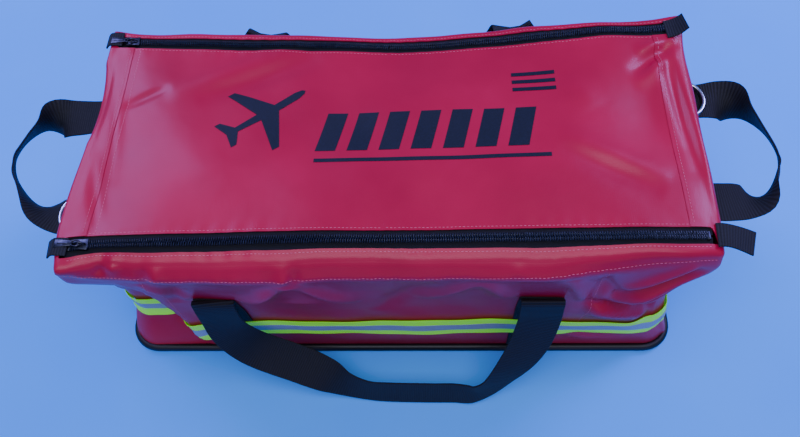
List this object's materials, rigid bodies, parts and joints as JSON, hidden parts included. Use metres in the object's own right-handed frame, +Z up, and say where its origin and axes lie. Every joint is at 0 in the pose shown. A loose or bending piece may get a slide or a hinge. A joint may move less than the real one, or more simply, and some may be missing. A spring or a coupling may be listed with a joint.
{
  "type": "zipped equipment bag",
  "caption": "Long soft-sided box bag of glossy coated fabric with a zipped lid, webbing carry handles, D-rings and a reflective band on a stiff black base.",
  "frame": {"origin": "centre of the underside, on the floor", "axes": "+X along the length to the right, +Y to the back, +Z up"},
  "size_m": [0.9692, 0.4271, 0.3122],
  "materials": {
    "vinyl": "glossy PVC-coated polyester",
    "base_rubber": "satin black coated fabric and piping",
    "board": "extruded plastic board",
    "zip_tape": "woven polyester tape",
    "zip_coil": "black nylon coil",
    "zip_metal": "gunmetal plated zinc",
    "webbing": "woven black webbing",
    "lime_tape": "fluorescent woven tape",
    "silver_tape": "retroreflective silver",
    "print": "screen-printed ink",
    "ring_steel": "nickel-plated steel wire"
  },
  "bodies": {
    "shell": {"base_panel": "base_rubber", "base_board": "board", "base_piping": "base_rubber", "front_panel": "vinyl", "back_panel": "vinyl", "left_end_panel": "vinyl", "right_end_panel": "vinyl", "front_backing": "vinyl", "back_backing": "vinyl", "front_top_strip": "vinyl", "back_top_strip": "vinyl", "left_top_flap": "vinyl", "right_top_flap": "vinyl", "front_outer_tape": "zip_tape", "back_outer_tape": "zip_tape", "front_outer_coil": "zip_coil", "back_outer_coil": "zip_coil", "inner_tape_ends": "zip_tape", "inner_coil_ends": "zip_coil", "zip_stops": "zip_metal", "zip_end_tabs": "webbing", "zip_start_tabs": "webbing", "front_straps": "webbing", "back_straps": "webbing", "left_straps": "webbing", "right_straps": "webbing", "back_handle_roots": "webbing", "front_band": "lime_tape", "back_band": "lime_tape", "left_band": "lime_tape", "right_band": "lime_tape", "front_stripe": "silver_tape", "back_stripe": "silver_tape", "left_stripe": "silver_tape", "right_stripe": "silver_tape", "left_ring_keeper": "webbing", "right_ring_keeper": "webbing"},
    "lid": {"top_panel": "vinyl", "front_inner_tape": "zip_tape", "back_inner_tape": "zip_tape", "front_inner_coil": "zip_coil", "back_inner_coil": "zip_coil", "lid_print": "print"},
    "front_slider": {"front_slider": "zip_metal"},
    "back_slider": {"back_slider": "zip_metal"},
    "front_pull": {"front_pull": "zip_metal"},
    "back_pull": {"back_pull": "zip_metal"},
    "front_handle": {"front_handle": "webbing"},
    "back_handle": {"back_handle": "webbing"},
    "left_handle": {"left_handle": "webbing"},
    "right_handle": {"right_handle": "webbing"},
    "left_ring": {"left_ring": "ring_steel"},
    "right_ring": {"right_ring": "ring_steel"}
  },
  "joints": [
    {"name": "lid_hinge", "type": "hinge", "parent": "shell", "child": "lid", "pos_m": [0, 0.1355, 0.3039], "axis": [-1, 0, 0], "range_deg": [0, 25]},
    {"name": "front_slider_slide", "type": "slide", "parent": "shell", "child": "front_slider", "axis": [1, 0, 0], "range_m": [0, 0.635]},
    {"name": "back_slider_slide", "type": "slide", "parent": "shell", "child": "back_slider", "axis": [1, 0, 0], "range_m": [0, 0.635]},
    {"name": "front_pull_swing", "type": "hinge", "parent": "front_slider", "child": "front_pull", "pos_m": [-0.3175, -0.1355, 0.3092], "axis": [0, 1, 0], "range_deg": [0, 170]},
    {"name": "back_pull_swing", "type": "hinge", "parent": "back_slider", "child": "back_pull", "pos_m": [-0.3175, 0.1355, 0.3092], "axis": [0, 1, 0], "range_deg": [0, 170]},
    {"name": "front_handle_swing", "type": "hinge", "parent": "shell", "child": "front_handle", "pos_m": [-0.014, -0.163, 0.195], "axis": [-1, 0, 0], "range_deg": [0, 155]},
    {"name": "back_handle_swing", "type": "hinge", "parent": "shell", "child": "back_handle", "pos_m": [0, 0.17455, 0.2881], "axis": [1, 0, 0], "range_deg": [0, 155]},
    {"name": "left_handle_swing", "type": "hinge", "parent": "shell", "child": "left_handle", "pos_m": [-0.36122, 0, 0.23985], "axis": [0, 1, 0], "range_deg": [-58, 95]},
    {"name": "right_handle_swing", "type": "hinge", "parent": "shell", "child": "right_handle", "pos_m": [0.36122, 0, 0.23985], "axis": [0, -1, 0], "range_deg": [-58, 95]},
    {"name": "left_ring_swing", "type": "hinge", "parent": "left_handle", "child": "left_ring", "pos_m": [-0.36122, -0.073, 0.23985], "axis": [0, -1, 0], "range_deg": [-90, 0]},
    {"name": "right_ring_swing", "type": "hinge", "parent": "right_handle", "child": "right_ring", "pos_m": [0.36122, 0.073, 0.23985], "axis": [0, 1, 0], "range_deg": [-90, 0]}
  ]
}
